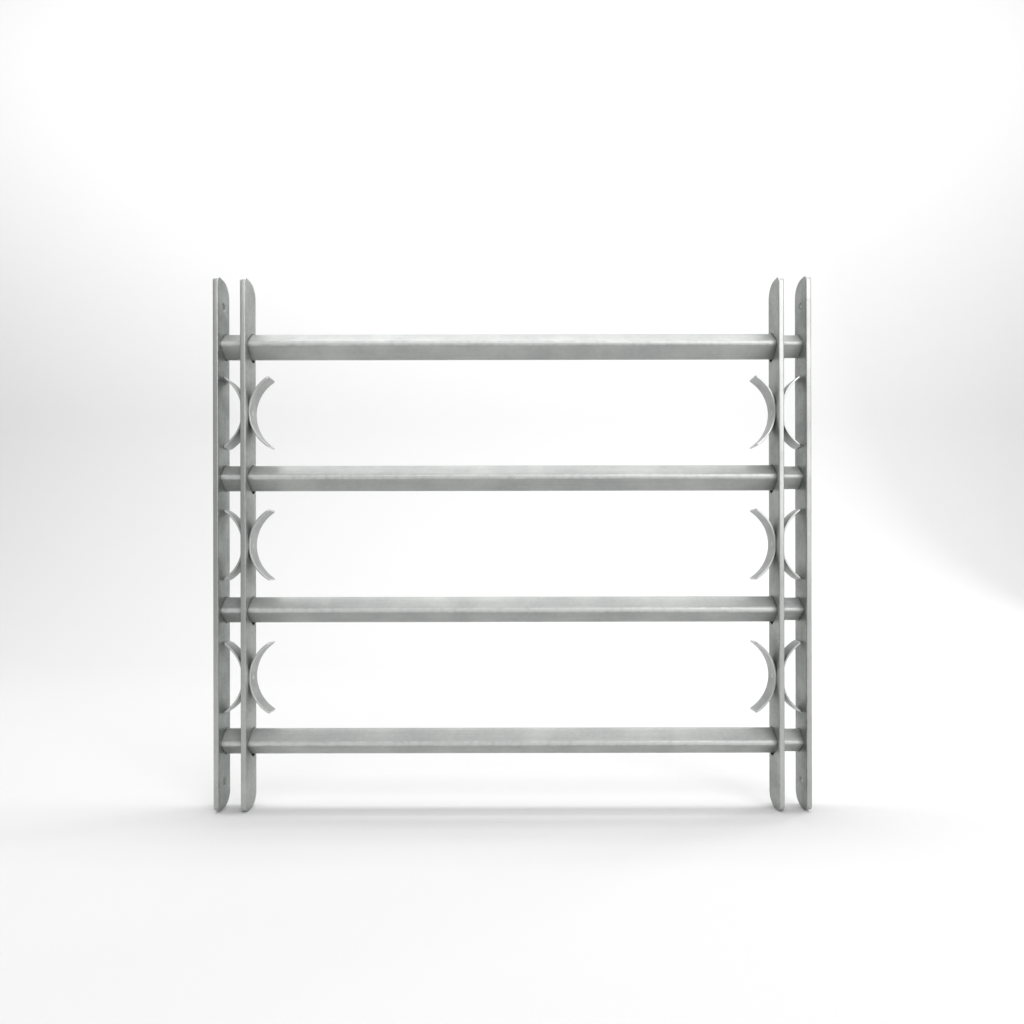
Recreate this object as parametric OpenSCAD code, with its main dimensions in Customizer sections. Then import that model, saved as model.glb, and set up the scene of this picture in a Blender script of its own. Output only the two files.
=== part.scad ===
// Extending window security grille: two galvanised steel frames, one sliding in the other,
// and two ornament posts that slide along the bars.
// Each frame is an end post of flat bar with four tubes welded into it. The right frame's
// tubes run inside the left frame's, so the grille opens to the width of its window.
// X is the width, -Y the front, +Z up. The origin is the middle of the closed grille.

/* [Overall] */
// Width over the end posts with the grille closed
closed_w = 666; // [560:2:900]
// Distance from one bar to the next
bar_pitch = 150; // [125:1:200]
// Distance from the outermost bars to the ends of the posts
end_margin = 74; // [58:1:120]

/* [Posts] */
// Depth of the flat bar, front to back
post_d = 30; // [28:0.5:40]
// Thickness of the flat bar
post_t = 6; // [4:0.5:10]
// Radius of the front corners at both ends of a post
post_front_r = 7; // [2:0.5:12]
// Radius of the back corners at both ends of a post
post_back_r = 16; // [2:0.5:16]
// Diameter of the fixing holes in the end posts
screw_d = 8; // [5:0.5:12]
// Distance of the fixing holes from the ends of the post
screw_inset = 30; // [14:1:35]

/* [Bars] */
// Height of the outer tube's section, across its back
bar_h = 29; // [24:0.5:36]
// Depth of the outer tube's section, nose to back
bar_d = 18; // [15:0.5:19]
// Distance of the outer tube's nose behind the front of the posts
bar_set_back = 7; // [5:0.5:8]
// Outside radius of the outer tube's nose
nose_r = 5; // [3.5:0.1:7]
// Outside radius of the outer tube's two back corners
back_r = 3.5; // [3.2:0.1:6]
// Wall of the outer tubes
outer_wall = 1.2; // [0.8:0.1:1.5]
// Wall of the inner tubes
inner_wall = 1.2; // [0.8:0.1:1.5]
// Gap all round between an outer tube and the inner tube that slides in it
slide_clear = 0.3; // [0.2:0.05:0.5]
// Distance of the inner tubes' free ends from the left end post
inner_gap = 8; // [1:1:60]

/* [Joints in the posts] */
// Gap all round where a tube is let into its end post
end_clear = 0.4; // [0.2:0.1:0.8]
// Gap all round between the outer tubes and the cut-outs of the ornament posts
post_clear = 1.5; // [0.8:0.1:2]
// Gap left above the bars where the ornament posts hang on them
rest_clear = 0.3; // [0.1:0.1:0.8]
// How far the tube ends stop short of the outer face of their end post
weld_recess = 2; // [1:0.25:3]
// How far the weld stays below that face, so that the post lies flat on the wall
weld_under = 0.3; // [0.1:0.1:0.8]

/* [Ornament arcs] */
// Outside radius of an arc
arc_r = 47; // [36:0.5:52]
// Angle from the middle of an arc to each tip
arc_half_angle = 59; // [40:1:70]
// Thickness of the strip
arc_t = 2; // [1:0.25:4]
// Width of the strip, front to back
arc_w = 20; // [10:0.5:26]
// Distance of the strip's rear edge in front of the back of the posts
arc_back = 2; // [0.5:0.5:6]
// Height of the flat where an arc is spot-welded to its post
arc_land = 10; // [6:1:20]
// Gap between the tips of the outer arcs and the end posts, with the grille closed
tip_clear = 0.8; // [0.5:0.1:10]

/* [Hidden] */
$fn = 96;
bar_count = 4;
row_count = bar_count - 1;
cut = 1; // how far a cutting solid runs past the face that it cuts
bend_steps = 10; // steps in each bend of the section

bar_zs = [for (i = [0 : bar_count - 1]) ((bar_count - 1) / 2 - i) * bar_pitch];
row_zs = [for (i = [0 : row_count - 1]) (bar_zs[i] + bar_zs[i + 1]) / 2];
post_h = (bar_count - 1) * bar_pitch + 2 * end_margin;
screw_z = post_h / 2 - screw_inset;

// Sizes of the inner tubes, as offsets inwards from the outer tube's section
inner_inset = outer_wall + slide_clear;
bore_inset = inner_inset + inner_wall;

// Side view of the section, with X here for the depth and Y for the height: a nose circle and
// two back corner circles, joined by flat faces
nose_tip = -post_d / 2 + bar_set_back;
back_plane = nose_tip + bar_d;
nose_centre = [nose_tip + nose_r, 0];
corner_centre = [back_plane - back_r, bar_h / 2 - back_r];
centre_span = corner_centre - nose_centre;
// Direction of the sloping face's outward normal, and the face's distance from the origin
slope_a = atan2(centre_span[1], centre_span[0]) + acos((nose_r - back_r) / norm(centre_span));
slope_n = [cos(slope_a), sin(slope_a)];
slope_h = slope_n * nose_centre + nose_r;

// Places across the width
end_outer = closed_w / 2;
end_inner = end_outer - post_t;
tube_end = end_outer - weld_recess;
arc_centre = sqrt(pow(arc_r, 2) - pow(arc_land / 2, 2)); // from the face that the arc seats on
arc_reach = arc_centre - (arc_r - arc_t) * cos(arc_half_angle);
ornament_outer = end_inner - tip_clear - arc_reach;
ornament_inner = ornament_outer - post_t;
ornament_drop = post_clear - rest_clear; // the ornament posts ride loosely and hang on the bars

// The arcs sit on the outer and inner face of each ornament post
arc_sides = ["outer", "inner"];

function numbered(name, count) = [for (i = [1 : count]) str(name, "_", i)];
function arc_names(hand) = [for (side = arc_sides) each numbered(str(hand, "_", side, "_arc"), row_count)];

function arc_points(centre, r, from, to) = [
    for (i = [0 : bend_steps])
        let (a = from + i * (to - from) / bend_steps) centre + r * [cos(a), sin(a)]
];

// The bars' section, grown or shrunk all round
module section(grow = 0) {
    nose = nose_r + grow;
    corner = back_r + grow;
    nose_y = (slope_h + grow - nose) / slope_n[0];
    corner_y = back_plane + grow - corner;
    corner_z = (slope_h + grow - corner - slope_n[0] * corner_y) / slope_n[1];
    polygon(concat(
        arc_points([nose_y, 0], nose, slope_a, 360 - slope_a),
        arc_points([corner_y, -corner_z], corner, -slope_a, 0),
        arc_points([corner_y, corner_z], corner, 0, slope_a)
    ));
}

// A side view drawn in Y and Z, extruded along the width
module across(from, to) {
    translate([from, 0, 0]) rotate([90, 0, 90]) linear_extrude(to - from) children();
}

// A tube that follows the section, between two insets
module tube(from, to, z, outside, inside) {
    translate([0, 0, z]) difference() {
        across(from, to) section(-outside);
        across(from - cut, to + cut) section(-inside);
    }
}

// Side view of a post: flat bar with its ends rounded off, more at the back than at the front
module post_outline() {
    front_y = post_front_r - post_d / 2;
    back_y = post_d / 2 - post_back_r;
    front_h = post_h - 2 * post_front_r;
    back_h = post_h - 2 * post_back_r;
    intersection() {
        square([post_d, post_h], center = true);
        union() {
            translate([-post_d / 2, -front_h / 2]) square([post_d - post_back_r, front_h]);
            translate([front_y, -post_h / 2]) square([back_y - front_y, post_h]);
            translate([front_y, -back_h / 2]) square([post_d - post_front_r, back_h]);
            for (s = [-1, 1]) {
                translate([front_y, s * front_h / 2]) circle(r = post_front_r);
                translate([back_y, s * back_h / 2]) circle(r = post_back_r);
            }
        }
    }
}

// A post with a cut-out for each bar
module post(from, grow) {
    difference() {
        across(from, from + post_t) post_outline();
        for (z = bar_zs) translate([0, 0, z]) across(from - cut, from + post_t + cut) section(grow);
    }
}

module end_post(from, grow) {
    difference() {
        post(from, grow);
        for (s = [-1, 1])
            translate([from - cut, 0, s * screw_z]) rotate([0, 90, 0]) cylinder(d = screw_d, h = post_t + 2 * cut);
    }
}

// One weld round the end of each tube, in the recess of its end post
module welds(from, to, outside, inside) {
    for (z = bar_zs) tube(from, to, z, outside - end_clear, inside);
}

// A strip bent to an arc, seated on a face at x and curling away from it towards +X
module arc(x, z) {
    translate([x, post_d / 2 - arc_back, z]) difference() {
        translate([arc_centre, 0, 0]) rotate([90, 0, 0]) rotate([0, 0, 180 - arc_half_angle])
            rotate_extrude(angle = 2 * arc_half_angle) translate([arc_r - arc_t, 0]) square([arc_t, arc_w]);
        translate([-arc_t, -arc_w - cut, -arc_land]) cube([arc_t, arc_w + 2 * cut, 2 * arc_land]);
    }
}

module left_end_post() { color("gainsboro") end_post(-end_outer, end_clear); }
module right_end_post() { color("gainsboro") end_post(end_inner, end_clear - inner_inset); }

module ornament_post(from) { color("lightgray") translate([0, 0, -ornament_drop]) post(from, post_clear); }

module outer_tube(i) { color("silver") tube(-tube_end, ornament_outer, bar_zs[i - 1], 0, outer_wall); }
module inner_tube(i) {
    color("silver") tube(inner_gap - end_inner, tube_end, bar_zs[i - 1], inner_inset, bore_inset);
}

// The arcs of the right ornament post; the left post's are their mirror images
module outer_arc(i) { color("lightgray") arc(ornament_outer, row_zs[i - 1] - ornament_drop); }
module inner_arc(i) {
    color("lightgray") mirror([1, 0, 0]) arc(-ornament_inner, row_zs[i - 1] - ornament_drop);
}

module left_welds() { color("gray") welds(weld_under - end_outer, -tube_end, 0, outer_wall); }
module right_welds() { color("gray") welds(tube_end, end_outer - weld_under, inner_inset, bore_inset); }

left_end_post();
right_end_post();
ornament_post(-ornament_outer);  // left_ornament_post
ornament_post(ornament_inner);  // right_ornament_post
for (i = [1 : bar_count]) {
    outer_tube(i);
    inner_tube(i);
}
for (i = [1 : row_count]) {
    outer_arc(i);
    inner_arc(i);
    mirror([1, 0, 0]) outer_arc(i);
    mirror([1, 0, 0]) inner_arc(i);
}
left_welds();
right_welds();
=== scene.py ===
# Looks for an extending window security grille: zinc-coated flat bar, rolled tube and bent strip.
import math

import bmesh
import bpy
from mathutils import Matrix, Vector
from mathutils.geometry import tessellate_polygon


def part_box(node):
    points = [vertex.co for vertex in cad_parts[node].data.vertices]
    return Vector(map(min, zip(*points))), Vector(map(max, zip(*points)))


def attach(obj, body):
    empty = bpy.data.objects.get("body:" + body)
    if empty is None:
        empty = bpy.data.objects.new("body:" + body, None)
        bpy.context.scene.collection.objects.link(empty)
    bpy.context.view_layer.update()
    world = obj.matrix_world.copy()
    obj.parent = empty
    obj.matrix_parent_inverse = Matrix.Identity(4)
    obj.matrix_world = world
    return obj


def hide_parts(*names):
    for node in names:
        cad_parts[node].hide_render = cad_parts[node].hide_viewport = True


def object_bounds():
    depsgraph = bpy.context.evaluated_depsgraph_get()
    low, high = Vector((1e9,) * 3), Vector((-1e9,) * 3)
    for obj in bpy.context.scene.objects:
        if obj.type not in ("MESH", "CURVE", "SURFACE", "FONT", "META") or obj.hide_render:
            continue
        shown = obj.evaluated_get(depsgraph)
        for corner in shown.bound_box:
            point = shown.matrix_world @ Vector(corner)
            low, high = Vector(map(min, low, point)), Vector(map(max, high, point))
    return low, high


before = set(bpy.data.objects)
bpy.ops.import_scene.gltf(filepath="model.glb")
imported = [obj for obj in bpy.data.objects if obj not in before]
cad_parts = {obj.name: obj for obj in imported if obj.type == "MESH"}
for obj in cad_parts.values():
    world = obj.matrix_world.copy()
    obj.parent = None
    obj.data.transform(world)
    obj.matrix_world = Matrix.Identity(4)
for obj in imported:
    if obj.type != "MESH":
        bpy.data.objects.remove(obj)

cadLow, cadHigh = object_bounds()
bars = (1, 2, 3, 4)
rows = (1, 2, 3)
sharpAngle = math.radians(50)  # a steeper edge is shaded sharp


# Mesh helpers

def finishPiece(name, points, faces, marks, body, material, stands):
    mesh = bpy.data.meshes.new(name)
    mesh.from_pydata(points, [], faces)
    # 1 where handling polishes the zinc, which on the post fronts, tube noses and arc edges is also a painted
    # highlight; below 0 is painted shade
    mark = mesh.attributes.new("rubAndPaintedLight", "FLOAT", "POINT")
    mark.data.foreach_set("value", marks)
    work = bmesh.new()
    work.from_mesh(mesh)
    bmesh.ops.recalc_face_normals(work, faces=work.faces)
    work.to_mesh(mesh)
    work.free()
    mesh.shade_smooth()
    mesh.set_sharp_from_angle(angle=sharpAngle)
    mesh.materials.append(material)
    piece = bpy.data.objects.new(name, mesh)
    bpy.context.scene.collection.objects.link(piece)
    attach(piece, body)
    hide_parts(stands)
    return piece


class Skin:
    # Collects closed rings of points and joins neighbouring rings with faces

    def __init__(self):
        self.points, self.faces, self.marks = [], [], []

    def ring(self, points, mark):
        first = len(self.points)
        self.points.extend(points)
        self.marks.extend(mark if isinstance(mark, list) else [mark] * len(points))
        return list(range(first, len(self.points)))

    def join(self, a, b):
        n = len(a)
        for i in range(n):
            j = (i + 1) % n
            self.faces.append((a[i], a[j], b[j], b[i]))

    def joinAll(self, rings, closed=False):
        for a, b in zip(rings, rings[1:]):
            self.join(a, b)
        if closed:
            self.join(rings[-1], rings[0])


def arcSpots(centre, radius, start, stop, steps):
    # Each spot is a point and its outward direction
    spots = []
    for i in range(steps + 1):
        a = start + (stop - start) * i / steps
        spots.append((centre[0] + radius * math.cos(a), centre[1] + radius * math.sin(a), math.cos(a), math.sin(a)))
    return spots


def grown(spots, amount):
    return [(y + amount * ny, z + amount * nz) for y, z, ny, nz in spots]


def roundOver(radius, steps):
    # Depth below the face and distance in from the edge, round a quarter turn
    turns = [math.pi / 2 * i / steps for i in range(steps + 1)]
    return [(radius * (1 - math.cos(a)), radius * (1 - math.sin(a))) for a in turns]


# The tube's section: nose to the front, flat back, rounded corners

tubeShape = {
    "noseRadius": 0.005,
    "cornerRadius": 0.0035,
    "outerWall": 0.0012,
    "innerWall": 0.0012,
    "noseSteps": 18,
    "cornerSteps": 8,
    "flatSteps": 6,
    "crown": 0.00008,  # the rolled faces aren't quite flat
    "seamWidth": 0.0011,
    "seamDepth": 0.00014,
}

outerLow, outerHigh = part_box("outer_tube_1")
innerLow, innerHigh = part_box("inner_tube_1")
innerInset = ((outerHigh.z - outerLow.z) - (innerHigh.z - innerLow.z)) / 2


def tubeSection(finer=1):
    s = tubeShape
    half = (outerHigh.z - outerLow.z) / 2
    nose = (outerLow.y + s["noseRadius"], 0)
    corner = (outerHigh.y - s["cornerRadius"], half - s["cornerRadius"])
    dy, dz = corner[0] - nose[0], corner[1]
    slope = math.atan2(dz, dy) + math.acos((s["noseRadius"] - s["cornerRadius"]) / math.hypot(dy, dz))
    steps = s["cornerSteps"] * finer
    corners = [
        arcSpots(nose, s["noseRadius"], slope, 2 * math.pi - slope, s["noseSteps"] * finer),
        arcSpots((corner[0], -corner[1]), s["cornerRadius"], -slope, 0, steps),
        arcSpots(corner, s["cornerRadius"], 0, slope, steps),
    ]
    backStops = [(i + 0.5) / s["flatSteps"] for i in range(s["flatSteps"])]
    seam = s["seamWidth"] / (2 * corner[1])
    seamStops = [0.5 + seam * k / 2 for k in (-2, -1, 0, 1, 2)]
    backStops = sorted([t for t in backStops if abs(t - 0.5) > 2 * seam] + seamStops)
    flatStops = [i / (s["flatSteps"] * finer) for i in range(1, s["flatSteps"] * finer)]
    spots, relief = [], []
    for k, spotsOfCorner in enumerate(corners):
        spots += spotsOfCorner
        relief += [0] * len(spotsOfCorner)
        a, b = spotsOfCorner[-1], corners[(k + 1) % 3][0]
        for t in backStops if k == 1 else flatStops:
            spots.append((a[0] + (b[0] - a[0]) * t, a[1] + (b[1] - a[1]) * t, a[2], a[3]))
            rise = s["crown"] * math.sin(math.pi * t)
            if k == 1:
                rise -= s["seamDepth"] * max(0, 1 - abs(t - 0.5) / seam)
            relief.append(rise)
    return spots, relief


section, sectionRelief = tubeSection()


# Shared effects, each a node group

def place(tree, kind, x, y, **settings):
    node = tree.nodes.new(kind)
    node.location = (x, y)
    for key, value in settings.items():
        setattr(node, key, value)
    return node


def newGroup(name, inputs, outputs):
    tree = bpy.data.node_groups.new(name, "ShaderNodeTree")
    for label, kind, value in inputs:
        socket = tree.interface.new_socket(label, in_out="INPUT", socket_type=kind)
        if value is not None:
            socket.default_value = value
    for label, kind in outputs:
        tree.interface.new_socket(label, in_out="OUTPUT", socket_type=kind)
    return tree, place(tree, "NodeGroupInput", -900, 0), place(tree, "NodeGroupOutput", 900, 0)


def scaled(tree, vector, factor, x, y):
    # A vector times a number from a socket
    node = place(tree, "ShaderNodeVectorMath", x, y, operation="SCALE")
    tree.links.new(vector, node.inputs[0])
    tree.links.new(factor, node.inputs["Scale"])
    return node.outputs[0]


def makeZincClouds():
    # Soft pale and deep patches of a zinc coat
    tree, given, out = newGroup("zincClouds", [
        ("Where", "NodeSocketVector", None),
        ("Patch Scale", "NodeSocketFloat", 40.0),
        ("Spread", "NodeSocketFloat", 0.2),
        ("Pale", "NodeSocketColor", (0.6, 0.6, 0.6, 1)),
        ("Deep", "NodeSocketColor", (0.4, 0.4, 0.4, 1)),
    ], [("Colour", "NodeSocketColor"), ("Cloud", "NodeSocketFloat")])
    link = tree.links.new
    where = scaled(tree, given.outputs["Where"], given.outputs["Patch Scale"], -700, 100)
    broad = place(tree, "ShaderNodeTexNoise", -500, 200)
    broad.inputs["Scale"].default_value = 1
    broad.inputs["Detail"].default_value = 3
    fine = place(tree, "ShaderNodeTexNoise", -500, -100)
    fine.inputs["Scale"].default_value = 9
    fine.inputs["Detail"].default_value = 5
    fine.inputs["Roughness"].default_value = 0.65
    both = place(tree, "ShaderNodeMix", -300, 50, data_type="FLOAT")
    both.inputs[0].default_value = 0.35
    link(where, broad.inputs["Vector"])
    link(where, fine.inputs["Vector"])
    link(broad.outputs[0], both.inputs[2])
    link(fine.outputs[0], both.inputs[3])
    low = place(tree, "ShaderNodeMath", -300, -250, operation="SUBTRACT")
    low.inputs[0].default_value = 0.5
    high = place(tree, "ShaderNodeMath", -300, -400, operation="ADD")
    high.inputs[0].default_value = 0.5
    link(given.outputs["Spread"], low.inputs[1])
    link(given.outputs["Spread"], high.inputs[1])
    span = place(tree, "ShaderNodeMapRange", -80, 0, interpolation_type="SMOOTHSTEP")
    link(both.outputs[0], span.inputs["Value"])
    link(low.outputs[0], span.inputs["From Min"])
    link(high.outputs[0], span.inputs["From Max"])
    tone = place(tree, "ShaderNodeMix", 200, 100, data_type="RGBA")
    link(span.outputs[0], tone.inputs[0])
    link(given.outputs["Deep"], tone.inputs[6])
    link(given.outputs["Pale"], tone.inputs[7])
    link(tone.outputs[2], out.inputs["Colour"])
    link(span.outputs[0], out.inputs["Cloud"])
    return tree


def makeRolledGrain():
    # Fine lines left by the rolls, stretched along the piece
    tree, given, out = newGroup("rolledGrain", [
        ("Where", "NodeSocketVector", None),
        ("Stretch", "NodeSocketVector", (1, 1, 1)),
        ("Contrast", "NodeSocketFloat", 1.0),
    ], [("Grain", "NodeSocketFloat")])
    link = tree.links.new
    drawn = place(tree, "ShaderNodeVectorMath", -650, 0, operation="MULTIPLY")
    link(given.outputs["Where"], drawn.inputs[0])
    link(given.outputs["Stretch"], drawn.inputs[1])
    lines = place(tree, "ShaderNodeTexNoise", -430, 100)
    lines.inputs["Scale"].default_value = 1
    lines.inputs["Detail"].default_value = 5
    lines.inputs["Roughness"].default_value = 0.7
    link(drawn.outputs[0], lines.inputs["Vector"])
    centred = place(tree, "ShaderNodeMath", -200, 100, operation="SUBTRACT")
    centred.inputs[1].default_value = 0.5
    link(lines.outputs[0], centred.inputs[0])
    strong = place(tree, "ShaderNodeMath", 0, 100, operation="MULTIPLY_ADD", use_clamp=True)
    strong.inputs[2].default_value = 0.5
    link(centred.outputs[0], strong.inputs[0])
    link(given.outputs["Contrast"], strong.inputs[1])
    link(strong.outputs[0], out.inputs["Grain"])
    return tree


def makeEdgePolishAndPaintedLight():
    # Turns the mesh's mark into an uneven polish, partly a painted highlight, and its part below 0 into painted
    # shade
    tree, given, out = newGroup("edgePolishAndPaintedLight", [
        ("Rub And Painted Light", "NodeSocketFloat", 0.0),
        ("Where", "NodeSocketVector", None),
        ("Uneven", "NodeSocketFloat", 0.5),
        ("Amount", "NodeSocketFloat", 1.0),
    ], [("Polish And Painted Highlight", "NodeSocketFloat"), ("Painted Shade", "NodeSocketFloat")])
    link = tree.links.new
    breakUp = place(tree, "ShaderNodeTexNoise", -600, -100)
    breakUp.inputs["Scale"].default_value = 160
    breakUp.inputs["Detail"].default_value = 4
    link(given.outputs["Where"], breakUp.inputs["Vector"])
    centred = place(tree, "ShaderNodeMath", -400, -100, operation="SUBTRACT")
    centred.inputs[1].default_value = 0.5
    link(breakUp.outputs[0], centred.inputs[0])
    shifted = place(tree, "ShaderNodeMath", -200, 0, operation="MULTIPLY_ADD")
    link(centred.outputs[0], shifted.inputs[0])
    link(given.outputs["Uneven"], shifted.inputs[1])
    link(given.outputs["Rub And Painted Light"], shifted.inputs[2])
    soft = place(tree, "ShaderNodeMapRange", 0, 0, interpolation_type="SMOOTHSTEP")
    soft.inputs["From Min"].default_value = 0.25
    soft.inputs["From Max"].default_value = 0.95
    link(shifted.outputs[0], soft.inputs["Value"])
    much = place(tree, "ShaderNodeMath", 250, 0, operation="MULTIPLY", use_clamp=True)
    link(soft.outputs[0], much.inputs[0])
    link(given.outputs["Amount"], much.inputs[1])
    link(much.outputs[0], out.inputs["Polish And Painted Highlight"])
    paintedShadeMark = place(tree, "ShaderNodeMath", 250, -200, operation="MULTIPLY", use_clamp=True)
    paintedShadeMark.inputs[1].default_value = -1
    link(given.outputs["Rub And Painted Light"], paintedShadeMark.inputs[0])
    link(paintedShadeMark.outputs[0], out.inputs["Painted Shade"])
    return tree


def makeHandledSkin():
    # Height of the coat: faint orange peel and a few small nicks
    tree, given, out = newGroup("handledSkin", [
        ("Where", "NodeSocketVector", None),
        ("Peel Scale", "NodeSocketFloat", 700.0),
        ("Nick Scale", "NodeSocketFloat", 120.0),
        ("Nicks", "NodeSocketFloat", 0.5),
        ("Grain", "NodeSocketFloat", 0.5),
        ("Grain Depth", "NodeSocketFloat", 0.5),
    ], [("Height", "NodeSocketFloat"), ("Nick", "NodeSocketFloat")])
    link = tree.links.new
    peel = place(tree, "ShaderNodeTexNoise", -500, 250)
    peel.inputs["Detail"].default_value = 2
    link(given.outputs["Where"], peel.inputs["Vector"])
    link(given.outputs["Peel Scale"], peel.inputs["Scale"])
    spots = place(tree, "ShaderNodeTexVoronoi", -500, -50, feature="F1")
    link(given.outputs["Where"], spots.inputs["Vector"])
    link(given.outputs["Nick Scale"], spots.inputs["Scale"])
    dot = place(tree, "ShaderNodeMapRange", -280, -50, interpolation_type="SMOOTHSTEP")
    dot.inputs["From Min"].default_value = 0.04
    dot.inputs["From Max"].default_value = 0.14
    dot.inputs["To Min"].default_value = 1
    dot.inputs["To Max"].default_value = 0
    link(spots.outputs["Distance"], dot.inputs["Value"])
    nick = place(tree, "ShaderNodeMath", -60, -50, operation="MULTIPLY")
    link(dot.outputs[0], nick.inputs[0])
    link(given.outputs["Nicks"], nick.inputs[1])
    lines = place(tree, "ShaderNodeMath", -60, -250, operation="MULTIPLY")
    link(given.outputs["Grain"], lines.inputs[0])
    link(given.outputs["Grain Depth"], lines.inputs[1])
    raised = place(tree, "ShaderNodeMath", 200, 150, operation="SUBTRACT")
    link(peel.outputs[0], raised.inputs[0])
    link(nick.outputs[0], raised.inputs[1])
    total = place(tree, "ShaderNodeMath", 420, 50, operation="ADD")
    link(raised.outputs[0], total.inputs[0])
    link(lines.outputs[0], total.inputs[1])
    link(total.outputs[0], out.inputs["Height"])
    link(nick.outputs[0], out.inputs["Nick"])
    return tree


zincClouds = makeZincClouds()
rolledGrain = makeRolledGrain()
edgePolishAndPaintedLight = makeEdgePolishAndPaintedLight()
handledSkin = makeHandledSkin()


def zincCoat(name, look):
    # One zinc finish, put together from the shared effects with its own values
    material = bpy.data.materials.new(name)
    material.use_nodes = True
    tree = material.node_tree
    link = tree.links.new
    shader = tree.nodes["Principled BSDF"]
    shader.inputs["Metallic"].default_value = look["metal"]
    where = place(tree, "ShaderNodeTexCoord", -1500, 0).outputs["Object"]

    clouds = place(tree, "ShaderNodeGroup", -1100, 300, node_tree=zincClouds)
    clouds.inputs["Patch Scale"].default_value = look["patchScale"]
    clouds.inputs["Spread"].default_value = look["spread"]
    clouds.inputs["Pale"].default_value = (*look["pale"], 1)
    clouds.inputs["Deep"].default_value = (*look["deep"], 1)
    link(where, clouds.inputs["Where"])

    grain = place(tree, "ShaderNodeGroup", -1100, 0, node_tree=rolledGrain)
    grain.inputs["Stretch"].default_value = look["stretch"]
    grain.inputs["Contrast"].default_value = look["grainContrast"]
    link(where, grain.inputs["Where"])

    mark = place(tree, "ShaderNodeAttribute", -1500, -300, attribute_name="rubAndPaintedLight")
    edges = place(tree, "ShaderNodeGroup", -1100, -250, node_tree=edgePolishAndPaintedLight)
    edges.inputs["Uneven"].default_value = look["unevenRub"]
    edges.inputs["Amount"].default_value = look["rubAmount"]
    link(mark.outputs["Fac"], edges.inputs["Rub And Painted Light"])
    link(where, edges.inputs["Where"])

    skin = place(tree, "ShaderNodeGroup", -1100, -500, node_tree=handledSkin)
    skin.inputs["Peel Scale"].default_value = look["peelScale"]
    skin.inputs["Nick Scale"].default_value = look["nickScale"]
    skin.inputs["Nicks"].default_value = look["nicks"]
    skin.inputs["Grain Depth"].default_value = look["grainDepth"]
    link(where, skin.inputs["Where"])
    link(grain.outputs["Grain"], skin.inputs["Grain"])

    lined = place(tree, "ShaderNodeMix", -750, 250, data_type="RGBA", blend_type="OVERLAY")
    lined.inputs[0].default_value = look["grainTone"]
    grey = place(tree, "ShaderNodeCombineColor", -930, 100)
    for channel in range(3):
        link(grain.outputs["Grain"], grey.inputs[channel])
    link(clouds.outputs["Colour"], lined.inputs[6])
    link(grey.outputs[0], lined.inputs[7])
    # Lighter tone for polish, which also paints highlights on post fronts, tube noses and arc edges
    polishedAndHighlit = place(tree, "ShaderNodeMix", -500, 250, data_type="RGBA")
    polishedAndHighlit.inputs[7].default_value = (*look["polishAndHighlightTone"], 1)
    link(edges.outputs["Polish And Painted Highlight"], polishedAndHighlit.inputs[0])
    link(lined.outputs[2], polishedAndHighlit.inputs[6])
    nicked = place(tree, "ShaderNodeMix", -280, 250, data_type="RGBA")
    nicked.inputs[7].default_value = (*look["nickTone"], 1)
    link(skin.outputs["Nick"], nicked.inputs[0])
    link(polishedAndHighlit.outputs[2], nicked.inputs[6])
    # Near-black painted shade in the cut-out gaps and on the arcs' bulging sides
    paintedShadeMixed = place(tree, "ShaderNodeMix", -80, 250, data_type="RGBA")
    paintedShadeMixed.inputs[7].default_value = (*look["paintedShade"], 1)
    link(edges.outputs["Painted Shade"], paintedShadeMixed.inputs[0])
    link(nicked.outputs[2], paintedShadeMixed.inputs[6])
    link(paintedShadeMixed.outputs[2], shader.inputs["Base Color"])

    uneven = place(tree, "ShaderNodeMix", -750, 0, data_type="FLOAT")
    uneven.inputs[0].default_value = 0.5
    link(clouds.outputs["Cloud"], uneven.inputs[2])
    link(grain.outputs["Grain"], uneven.inputs[3])
    rough = place(tree, "ShaderNodeMapRange", -500, 0)
    rough.inputs["To Min"].default_value = look["roughHigh"]
    rough.inputs["To Max"].default_value = look["roughLow"]
    link(uneven.outputs[0], rough.inputs["Value"])
    smoother = place(tree, "ShaderNodeMix", -280, 0, data_type="FLOAT")
    smoother.inputs[3].default_value = look["roughRubbed"]
    link(edges.outputs["Polish And Painted Highlight"], smoother.inputs[0])
    link(rough.outputs[0], smoother.inputs[2])
    link(smoother.outputs[0], shader.inputs["Roughness"])

    bump = place(tree, "ShaderNodeBump", -280, -300)
    bump.inputs["Strength"].default_value = look["bumpStrength"]
    bump.inputs["Distance"].default_value = look["bumpDepth"]
    link(skin.outputs["Height"], bump.inputs["Height"])
    link(bump.outputs[0], shader.inputs["Normal"])
    return material


# Finishes

endPostFinish = {
    "metal": 0.7,
    "pale": (0.33, 0.345, 0.33),
    "deep": (0.20, 0.215, 0.205),
    "patchScale": 34.0,
    "spread": 0.22,
    "stretch": (900, 900, 14),
    "grainContrast": 1.6,
    "grainTone": 0.22,
    # Polish tone that also paints highlights, and the colour of painted shade
    "polishAndHighlightTone": (0.62, 0.63, 0.62),
    "paintedShade": (0.035, 0.036, 0.036),
    "rubAmount": 0.45,
    "unevenRub": 0.9,
    "peelScale": 900.0,
    "nickScale": 90.0,
    "nicks": 0.35,
    "nickTone": (0.30, 0.31, 0.31),
    "grainDepth": 0.8,
    "roughLow": 0.34,
    "roughHigh": 0.5,
    "roughRubbed": 0.28,
    "bumpStrength": 0.22,
    "bumpDepth": 0.00012,
}
ornamentPostFinish = dict(endPostFinish, pale=(0.36, 0.375, 0.36), deep=(0.22, 0.235, 0.225), patchScale=28.0)
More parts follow.
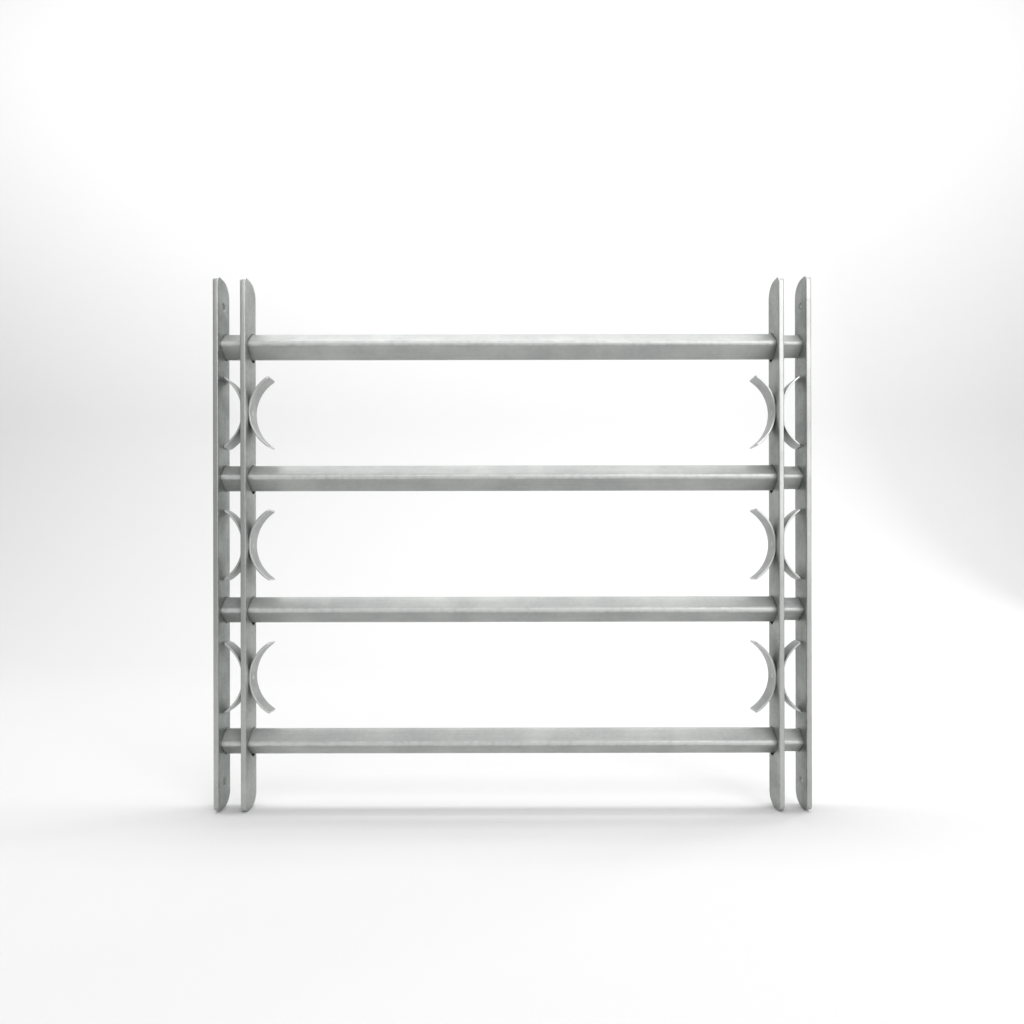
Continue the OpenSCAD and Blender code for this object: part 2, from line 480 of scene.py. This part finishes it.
outerTubeFinish = dict(
    endPostFinish,
    metal=0.35,
    pale=(0.42, 0.432, 0.42),
    deep=(0.32, 0.332, 0.325),
    patchScale=22.0,
    stretch=(10, 1100, 1100),
    grainContrast=1.4,
    grainTone=0.16,
    rubAmount=0.75,
    nicks=0.2,
    roughLow=0.36,
    roughHigh=0.5,
    roughRubbed=0.38,
    bumpStrength=0.16,
)
innerTubeFinish = dict(
    outerTubeFinish,
    pale=(0.56, 0.572, 0.56),
    deep=(0.45, 0.462, 0.455),
    grainContrast=2.0,
    grainTone=0.24,
)
arcFinish = dict(
    endPostFinish,
    pale=(0.36, 0.365, 0.36),
    deep=(0.26, 0.27, 0.265),
    patchScale=60.0,
    stretch=(260, 900, 260),
    grainContrast=1.0,
    grainTone=0.12,
    rubAmount=0.8,
    roughLow=0.3,
    roughHigh=0.42,
)
weldFinish = dict(
    endPostFinish,
    metal=0.8,
    pale=(0.34, 0.345, 0.34),
    deep=(0.19, 0.195, 0.195),
    patchScale=260.0,
    stretch=(700, 700, 700),
    grainTone=0.3,
    rubAmount=0.3,
    nicks=0.6,
    roughLow=0.42,
    roughHigh=0.62,
    bumpStrength=0.4,
)

endPostZinc = zincCoat("endPostZinc", endPostFinish)
ornamentPostZinc = zincCoat("ornamentPostZinc", ornamentPostFinish)
outerTubeZinc = zincCoat("outerTubeZinc", outerTubeFinish)
innerTubeZinc = zincCoat("innerTubeZinc", innerTubeFinish)
arcZinc = zincCoat("arcZinc", arcFinish)
weldZinc = zincCoat("weldZinc", weldFinish)
print("finishes made")


# Posts of flat bar

postShape = {
    "frontRadius": 0.007,
    "backRadius": 0.016,
    "edgeRadius": 0.0011,
    "edgeSteps": 5,
    "cornerSteps": 20,
    "bandWidth": 0.0005,  # flat next to an edge that still catches some polish and painted highlight
    "paintedShadeBand": 0.0010,  # flat next to a cut-out, darkened as painted shade of the gap round the tube
    # painted shade in the end posts' and ornament posts' cut-outs
    "endPaintedShade": -0.55,
    "slotPaintedShade": -1.0,
    "rubAndHighlightLow": 0.35,  # polish where an edge's rounding begins, also a painted highlight
    "rubAndHighlightRise": 0.65,  # what it gains up to the middle of the edge; the narrow faces get all of it, which paints the posts' front highlight as well as polish
    "holeEdge": 0.0003,
    "holeSteps": 3,
    "screwRadius": 0.004,
    "screwEdge": 0.00045,
    "screwInset": 0.030,
    "screwSteps": 40,
    "endClear": 0.0004,
    "slotClear": 0.0015,
}


def postOutline(depth, height, zMid):
    spots = []
    for k, (sy, sz) in enumerate(((1, 1), (-1, 1), (-1, -1), (1, -1))):
        r = postShape["backRadius" if sy > 0 else "frontRadius"]
        centre = (sy * (depth / 2 - r), zMid + sz * (height / 2 - r))
        spots += arcSpots(centre, r, k * math.pi / 2, (k + 1) * math.pi / 2, postShape["cornerSteps"])
    return spots


def flatBarPost(node, body, material, slotGrow, paintedShade, screws):
    s = postShape
    low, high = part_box(node)
    zMid = (low.z + high.z) / 2
    skin = Skin()
    outline = postOutline(high.y - low.y, high.z - low.z, zMid)
    openings = [(outline, 0, -1, s["edgeRadius"], s["edgeSteps"], s["rubAndHighlightRise"])]
    for i in bars:
        tubeLow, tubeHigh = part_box("outer_tube_%d" % i)
        zBar = (tubeLow.z + tubeHigh.z) / 2 + zMid
        cutOut = [(y, z + zBar, ny, nz) for y, z, ny, nz in section]
        openings.append((cutOut, slotGrow, 1, s["holeEdge"], s["holeSteps"], None))
    if screws:
        for z in (high.z - s["screwInset"], low.z + s["screwInset"]):
            hole = arcSpots((0, z), s["screwRadius"], 0, 2 * math.pi, s["screwSteps"])[:-1]
            openings.append((hole, 0, 1, s["screwEdge"], s["holeSteps"], s["rubAndHighlightRise"]))
    fronts, backs = [], []
    for spots, grow, way, radius, steps, polishAndHighlight in openings:
        quarter = roundOver(radius, steps)
        band = s["bandWidth"] if polishAndHighlight else s["paintedShadeBand"]
        # Edges polish up to full on the narrow faces, painting the front highlight; cut-outs get painted shade
        # instead
        layers = [(0, radius + band, 0.0)]
        for k, (depth, back) in enumerate(quarter):
            layers.append((depth, back, s["rubAndHighlightLow"] + polishAndHighlight * k / steps if polishAndHighlight else paintedShade))
        places = [(low.x + d, back, m) for d, back, m in layers]
        places += [(high.x - d, back, m) for d, back, m in reversed(layers)]
        rings = [skin.ring([(x, y, z) for y, z in grown(spots, grow + way * back)], m) for x, back, m in places]
        skin.joinAll(rings)
        fronts.append(rings[0])
        backs.append(rings[-1])
    for sides in (fronts, backs):
        flat = [index for ring in sides for index in ring]
        loops = [[Vector((skin.points[i][1], skin.points[i][2], 0)) for i in ring] for ring in sides]
        skin.faces.extend(tuple(flat[i] for i in corner) for corner in tessellate_polygon(loops))
    return finishPiece(node + "_plate", skin.points, skin.faces, skin.marks, body, material, node)


for hand, inset in (("left", 0), ("right", innerInset)):
    flatBarPost(
        hand + "_end_post", hand + "_frame", endPostZinc,
        postShape["endClear"] - inset, postShape["endPaintedShade"], True,
    )
for hand in ("left", "right"):
    flatBarPost(
        hand + "_ornament_post", hand + "_ornament", ornamentPostZinc,
        postShape["slotClear"], postShape["slotPaintedShade"], False,
    )
print("posts made")


# Rolled tubes

tubeBuild = {
    "rimRadius": 0.0003,
    "rimSteps": 2,
    "rimRub": 0.8,
    "lengthSteps": 30,
    "wander": 0.00003,  # the rolled faces wave this much along the tube
    "wanderFade": 8,  # it fades out over one part in this many at each end
    "noseHighlight": 0.9,
    "noseStart": 0.72,  # how far to the front a face points before the nose's painted highlight starts
    "boreInset": 0.004,
}


def rolledTube(node, body, material, inset, wall):
    b = tubeBuild
    low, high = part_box(node)
    zMid = (low.z + high.z) / 2
    x0, x1 = low.x, high.x
    skin = Skin()
    # Painted highlight along the forward-facing nose, a lighter tone and lower roughness
    noseHighlight = [b["noseHighlight"] * max(0, (-ny - b["noseStart"]) / (1 - b["noseStart"])) for y, z, ny, nz in section]
    rings = []
    for i in range(b["lengthSteps"] + 1):
        t = i / b["lengthSteps"]
        x = x0 + b["rimRadius"] + (x1 - x0 - 2 * b["rimRadius"]) * t
        points = []
        for (y, z, ny, nz), rise in zip(section, sectionRelief):
            fade = min(1, b["wanderFade"] * t, b["wanderFade"] * (1 - t))
            drift = b["wander"] * fade * math.sin(x * 61 + 5 * ny + 40 * zMid) * math.cos(x * 23 + 3 * nz)
            amount = rise + drift - inset
            points.append((x, y + amount * ny, z + amount * nz + zMid))
        rings.append(skin.ring(points, noseHighlight))

    def rim(x, way, outwards):
        turns = roundOver(b["rimRadius"], b["rimSteps"])
        steps = [(x + way * d, -inset - back) for d, back in reversed(turns)]
        steps += [(x + way * d, -inset - wall + back) for d, back in turns]
        if not outwards:
            steps.reverse()
        made = []
        for px, amount in steps[1:]:
            made.append(skin.ring([(px, y, z + zMid) for y, z in grown(section, amount)], b["rimRub"]))
        return made

    rings += rim(x1, -1, True)
    bore = grown(section, -inset - wall)
    for x in (x1 - b["boreInset"], 0.5 * (x0 + x1), x0 + b["boreInset"]):
        rings.append(skin.ring([(x, y, z + zMid) for y, z in bore], 0.0))
    rings += rim(x0, 1, False)
    skin.joinAll(rings, closed=True)
    return finishPiece(node + "_rolled", skin.points, skin.faces, skin.marks, body, material, node)


for i in bars:
    rolledTube(
        "outer_tube_%d" % i, "left_frame", outerTubeZinc,
        0, tubeShape["outerWall"],
    )
    rolledTube(
        "inner_tube_%d" % i, "right_frame", innerTubeZinc,
        innerInset, tubeShape["innerWall"],
    )
print("tubes made")


# Arcs: strip bent round a former and spot-welded to its post

arcShape = {
    "radius": 0.047,
    "thickness": 0.002,
    "seatFlat": 0.010,
    "halfAngle": math.radians(59),
    "tipRadius": 0.0032,
    "edgeRadius": 0.0005,
    "spotRadius": 0.0032,
    "spotDepth": 0.00035,
    "spotRim": 0.00012,
    "spotFade": 0.0009,
    "spotLip": 0.0005,
    "spotPolish": 0.55,
    "creasePaintedShade": 0.85,  # painted shade on the bulging side next to the post, standing in for the post's dark reflection
    "creaseReach": 0.046,  # where it has faded out, along the strip from its middle
    "creaseFade": 0.026,
    "closePitch": 0.0005,
    "closeStations": 11,
    "openStations": 16,
    "tipStations": 9,
    "edgeSteps": 3,
    "acrossStops": (0, 0.0006, 0.0012, 0.0018, 0.0024, 0.003, 0.0036, 0.0042, 0.006, 0.0085),
    "acrossFull": 0.0088,  # half width that those stops are meant for
}


def arcStations():
    # Distances along the strip from its middle, close together at the spot weld and the tips
    s = arcShape
    end = (s["radius"] - s["thickness"] / 2) * s["halfAngle"]
    near, many, few = s["closePitch"] * s["closeStations"], s["openStations"], s["tipStations"]
    stops = [s["closePitch"] * i for i in range(s["closeStations"])]
    stops += [near + (end - s["tipRadius"] - near) * i / many for i in range(many + 1)]
    stops += [end - s["tipRadius"] * (1 - math.sin(math.pi / 2 * i / few)) for i in range(1, few + 1)]
    return sorted({round(side * stop, 7) for side in (-1, 1) for stop in stops}), end


def bentStrip(node, body, material):
    s = arcShape
    low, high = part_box(node)
    postLow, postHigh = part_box(body + "_post")
    away = 1 if low.x > (postLow.x + postHigh.x) / 2 else -1
    face = low.x if away > 0 else high.x
    yMid, half = (low.y + high.y) / 2, (high.y - low.y) / 2
    zMid = (low.z + high.z) / 2
    middle = s["radius"] - s["thickness"] / 2
    # Distance of the bend's centre from the post's face
    centre = math.sqrt(s["radius"] ** 2 - (s["seatFlat"] / 2) ** 2)
    stations, end = arcStations()
    acrossStops = sorted({side * stop for side in (-1, 1) for stop in s["acrossStops"]})
    turns = [math.pi / 2 * k / s["edgeSteps"] for k in range(s["edgeSteps"] + 1)]
    skin = Skin()
    rings = []
    for along in stations:
        past = max(0, abs(along) - (end - s["tipRadius"]))
        width = half - s["tipRadius"] + math.sqrt(max(0, s["tipRadius"] ** 2 - past ** 2))
        thin = max(0, abs(along) - (end - s["edgeRadius"]))
        cut = s["edgeRadius"] - math.sqrt(max(0, s["edgeRadius"] ** 2 - thin ** 2))
        t = s["thickness"] / 2 - cut
        edge = min(s["edgeRadius"], t * 0.9)
        flat = width - edge
        rounding = [(flat + edge * math.sin(a), t - edge * (1 - math.cos(a))) for a in turns]
        # Rounded edges carry full polish, which also paints their white highlights
        loop = [(v * flat / s["acrossFull"], t, 0.0) for v in acrossStops]
        loop += [(v, u, 1.0) for v, u in rounding]
        loop += [(v, -u, 1.0) for v, u in reversed(rounding)]
        loop += [(v * flat / s["acrossFull"], -t, 0.0) for v in reversed(acrossStops)]
        loop += [(-v, -u, 1.0) for v, u in rounding]
        loop += [(-v, u, 1.0) for v, u in reversed(rounding)]
        angle = along / middle
        points, marks = [], []
        for v, u, m in loop:
            if u > 0 and m == 0:  # the hollow side carries the electrode's mark
                r = math.hypot(along, v)
                if r < s["spotRadius"] * 1.5:
                    dish = max(0, min(1, (s["spotRadius"] - r) / s["spotFade"] + 0.5))
                    lip = math.exp(-((r - s["spotRadius"] * 1.08) / s["spotLip"]) ** 2)
                    u += s["spotRim"] * lip - s["spotDepth"] * dish
                    m = s["spotPolish"] * dish
            radius = middle - u
            x = max(centre - radius * math.cos(angle), 0)
            points.append((face + away * x, yMid + v, zMid + radius * math.sin(angle)))
            # Painted shade on the bulging side, fading out along the strip
            if u < 0 and m == 0:
                m = -s["creasePaintedShade"] * max(0, min(1, (s["creaseReach"] - abs(along)) / s["creaseFade"]))
            # Tips are fully polished, which also paints their highlights
            marks.append(1.0 if thin > 0 else m)
        rings.append(skin.ring(points, marks))
    skin.joinAll(rings)
    skin.faces.extend(tuple(ring) for ring in (rings[0], rings[-1]))
    return finishPiece(node + "_strip", skin.points, skin.faces, skin.marks, body, material, node)


for hand in ("left", "right"):
    for side in ("outer", "inner"):
        for i in rows:
            bentStrip("%s_%s_arc_%d" % (hand, side, i), hand + "_ornament", arcZinc)
print("arcs made")


# Weld seams round the tube ends, sunk in the end posts' outer faces

weldShape = {
    "ripplePitch": 0.0016,
    "rippleHeight": 0.00022,
    "rippleLean": 2.2,  # how far a ripple trails behind at the crown, in radians
    "lumps": 3,
    "lumpHeight": 0.14,
    "lumpShift": 2.1,
    "domeSteps": 8,
    "shoulder": 0.45,  # height of the bead's foot, as a part of its crown
    "crownRub": 0.5,
    "finer": 5,
}


def weldSeams(node, body, material, inset, wall):
    s = weldShape
    low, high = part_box(node)
    foot, crown = (high.x, low.x) if low.x < 0 else (low.x, high.x)
    spots, relief = tubeSection(s["finer"])
    n = len(spots)
    travelled = [0.0]
    for a, b in zip(spots, spots[1:] + spots[:1]):
        travelled.append(travelled[-1] + math.hypot(b[0] - a[0], b[1] - a[1]))
    ripples = round(travelled[-1] / s["ripplePitch"])
    skin = Skin()
    for i in bars:
        tubeLow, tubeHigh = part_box("outer_tube_%d" % i)
        zBar = (tubeLow.z + tubeHigh.z) / 2
        outside, inside = postShape["endClear"] - inset, -inset - wall
        steps = s["domeSteps"]
        rings = [skin.ring([(foot, y, z + zBar) for y, z in grown(spots, outside)], 0.0)]
        for k in range(steps + 1):
            t = k / steps
            dome = math.sin(math.pi * t)
            points = []
            for j, (y, z, ny, nz) in enumerate(spots):
                turn = 2 * math.pi * ripples * travelled[j] / travelled[-1] - s["rippleLean"] * dome
                lump = 0.5 + 0.5 * math.sin(2 * math.pi * s["lumps"] * j / n + i * s["lumpShift"])
                rise = s["shoulder"] + (1 - s["shoulder"]) * dome * (1 - s["lumpHeight"] * (1 - lump))
                dip = s["rippleHeight"] * dome * (0.5 - 0.5 * math.sin(turn))
                x = foot + (crown - foot) * rise - math.copysign(dip, crown - foot)
                amount = outside + (inside - outside) * t
                points.append((x, y + amount * ny, z + amount * nz + zBar))
            rings.append(skin.ring(points, s["crownRub"] * dome))
        rings.append(skin.ring([(foot, y, z + zBar) for y, z in grown(spots, inside)], 0.0))
        skin.joinAll(rings, closed=True)
    return finishPiece(node + "_beads", skin.points, skin.faces, skin.marks, body, material, node)


weldSeams("left_welds", "left_frame", weldZinc, 0, tubeShape["outerWall"])
weldSeams("right_welds", "right_frame", weldZinc, innerInset, tubeShape["innerWall"])
print("weld seams made")


# Studio: pale sweep, soft lights, camera

studio = {
    "sweepColour": (0.64, 0.64, 0.64),
    "sweepWidth": 7.0,
    "sweepFront": -2.6,
    "sweepBack": 1.9,
    "sweepHeight": 4.0,
    "sweepBend": 0.9,
    "bendSteps": 24,
    "roomColour": (1.0, 1.0, 1.0),
    "roomStrength": 0.36,
}


def makeSweep():
    s = studio
    floorZ = cadLow.z - 0.0001
    profile = [(s["sweepFront"], floorZ)]
    bendY = s["sweepBack"] - s["sweepBend"]
    for i in range(s["bendSteps"] + 1):
        a = math.pi / 2 * i / s["bendSteps"]
        profile.append((bendY + s["sweepBend"] * math.sin(a), floorZ + s["sweepBend"] * (1 - math.cos(a))))
    profile.append((s["sweepBack"], floorZ + s["sweepHeight"]))
    points = [(side * s["sweepWidth"] / 2, y, z) for side in (-1, 1) for y, z in profile]
    n = len(profile)
    mesh = bpy.data.meshes.new("studioSweep")
    mesh.from_pydata(points, [], [(i, n + i, n + i + 1, i + 1) for i in range(n - 1)])
    mesh.shade_smooth()
    paper = bpy.data.materials.new("sweepPaper")
    paper.use_nodes = True
    shader = paper.node_tree.nodes["Principled BSDF"]
    shader.inputs["Base Color"].default_value = (*s["sweepColour"], 1)
    shader.inputs["Roughness"].default_value = 0.9
    shader.inputs["Specular IOR Level"].default_value = 0.1
    mesh.materials.append(paper)
    sweep = bpy.data.objects.new("studioSweep", mesh)
    bpy.context.scene.collection.objects.link(sweep)


def softLight(name, spot, target, size, power):
    lamp = bpy.data.lights.new(name, "AREA")
    lamp.shape = "RECTANGLE"
    lamp.size, lamp.size_y = size
    lamp.energy = power
    light = bpy.data.objects.new(name, lamp)
    light.location = spot
    light.rotation_euler = (Vector(target) - Vector(spot)).to_track_quat("-Z", "Y").to_euler()
    bpy.context.scene.collection.objects.link(light)


makeSweep()
world = bpy.data.worlds.new("room")
world.use_nodes = True
room = world.node_tree.nodes["Background"]
room.inputs["Color"].default_value = (*studio["roomColour"], 1)
room.inputs["Strength"].default_value = studio["roomStrength"]
bpy.context.scene.world = world
# Name, place, what it points at, size and power in watts
lamps = (
    ("overhead", (0.05, 0.05, 1.8), (0, 0, 0), (2.6, 1.2), 8),
    ("frontRight", (1.2, -1.9, 0.75), (0.1, 0, 0.1), (1.3, 1.6), 15),
    ("frontTop", (0.15, -1.35, 1.3), (0, 0, 0), (2.2, 0.9), 15),
    ("backRight", (1.9, 0.9, 0.5), (-0.2, 0, 0), (0.5, 1.6), 12),
    ("sweepWash", (0, 0.3, 2.5), (0, 1.9, 0.5), (6.0, 1.0), 104),
)
for lamp in lamps:
    softLight(*lamp)

view = {
    "place": (0.004, -0.735, -0.03),
    "roll": 0.1,
    "lens": 22.77,
    "sensor": 36,
    "shift": (-0.00390625, 0.056640625),
    "nearClip": 0.02,
}
camera = bpy.data.objects.new("viewer", bpy.data.cameras.new("viewer"))
camera.location = view["place"]
camera.rotation_euler = (math.radians(90), math.radians(view["roll"]), 0)
camera.data.lens = view["lens"]
camera.data.sensor_width = view["sensor"]
camera.data.shift_x, camera.data.shift_y = view["shift"]
camera.data.clip_start = view["nearClip"]
bpy.context.scene.collection.objects.link(camera)
bpy.context.scene.camera = camera
bpy.context.scene.view_settings.view_transform = "Standard"
print("studio made")
